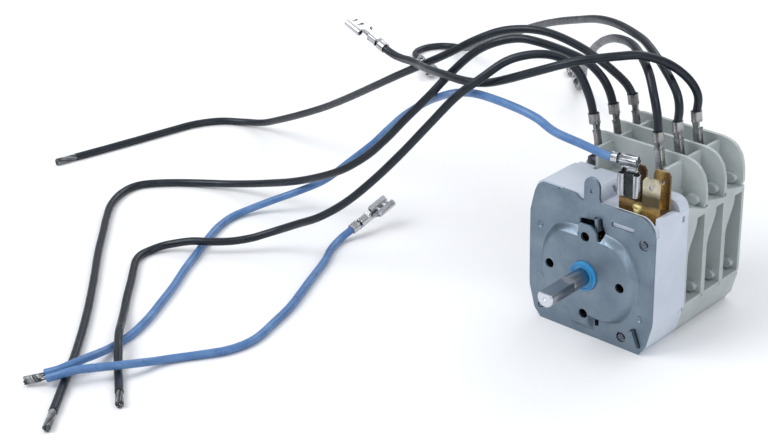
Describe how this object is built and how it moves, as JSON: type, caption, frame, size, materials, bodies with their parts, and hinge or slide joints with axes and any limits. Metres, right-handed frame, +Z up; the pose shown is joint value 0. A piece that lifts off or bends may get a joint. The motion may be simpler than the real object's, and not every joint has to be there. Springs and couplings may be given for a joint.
{
  "type": "wind-up clockwork timer",
  "caption": "Wind-up clockwork timer with a steel front plate, D-shaft, plastic case, stacked contact wafers and free leads with crimped ends.",
  "frame": {"origin": "centre of the timer's standing footprint, on the surface it stands on; the free leads don't count", "axes": "+X to the right seen from the front, +Y from the front plate into the depth (the shaft points to -Y), +Z up"},
  "size_m": [0.2753, 0.3483, 0.0921],
  "materials": {
    "zinc_plate": "blue-grey passivated zinc, satin",
    "blue_plastic": "clear blue, moulded",
    "polished_steel": "turned, bright",
    "case_plastic": "pale lilac-white moulding",
    "wafer_plastic": "light warm grey moulding",
    "cam_plastic": "off-white moulding",
    "brass": "stamped, slightly aged",
    "spring_steel": "blued",
    "tinned_metal": "tinned brass and strand",
    "black_sheath": "silicone, satin",
    "blue_sheath": "silicone, satin"
  },
  "bodies": {
    "case": {"front_plate": "zinc_plate", "shaft_bush": "blue_plastic", "main_housing": "case_plastic", "locating_pins": "zinc_plate", "wafer_1": "wafer_plastic", "wafer_2": "wafer_plastic", "wafer_3": "wafer_plastic", "rear_screws": "zinc_plate", "movement_plate": "zinc_plate", "mainspring": "spring_steel", "blade_1": "brass", "blade_2": "brass", "blade_3": "brass", "neutral_strip": "brass", "flag_receptacle": "tinned_metal", "left_terminal_1": "tinned_metal", "left_terminal_2": "tinned_metal", "left_terminal_3": "tinned_metal", "right_terminal_1": "tinned_metal", "right_terminal_2": "tinned_metal", "right_terminal_3": "tinned_metal", "lead_left_1": "black_sheath", "lead_left_2": "black_sheath", "lead_left_3": "black_sheath", "lead_right_1": "black_sheath", "lead_right_2": "black_sheath", "lead_right_3": "black_sheath", "lead_blue_main": "blue_sheath", "lead_blue_branch": "blue_sheath", "bare_left_1": "tinned_metal", "bare_left_2": "tinned_metal", "bare_left_3": "tinned_metal", "bare_blue": "tinned_metal", "receptacle_right_1": "tinned_metal", "receptacle_right_2": "tinned_metal", "receptacle_right_3": "tinned_metal", "receptacle_blue": "tinned_metal"},
    "shaft": {"control_shaft": "polished_steel", "main_wheel": "brass", "cam_1": "cam_plastic", "cam_2": "cam_plastic", "cam_3": "cam_plastic"},
    "second_arbor": {"second_wheel": "brass"},
    "escape_arbor": {"escape_wheel": "brass"},
    "anchor_arbor": {"anchor": "zinc_plate"}
  },
  "joints": [
    {"name": "shaft_turn", "type": "hinge", "parent": "case", "child": "shaft", "pos_m": [0, 0, 0.0234], "axis": [0, 1, 0], "range_deg": [0, 330], "deforming": ["mainspring", "blade_1", "blade_2", "blade_3"]},
    {"name": "second_wheel_turn", "type": "hinge", "parent": "case", "child": "second_arbor", "pos_m": [-0.0099, 0, 0.0135], "axis": [0, 1, 0], "range_deg": [-1980, 0]},
    {"name": "escape_wheel_turn", "type": "hinge", "parent": "case", "child": "escape_arbor", "pos_m": [-0.00332, 0, 0.0097], "axis": [0, 1, 0], "range_deg": [0, 7425]},
    {"name": "anchor_rock", "type": "hinge", "parent": "case", "child": "anchor_arbor", "pos_m": [0.00455, 0, 0.00901], "axis": [0, 1, 0], "range_deg": [-8, 8]}
  ],
  "couplings": [
    {"joint": "second_wheel_turn", "follows": "shaft_turn", "ratio": -6},
    {"joint": "escape_wheel_turn", "follows": "shaft_turn", "ratio": 22.5}
  ]
}
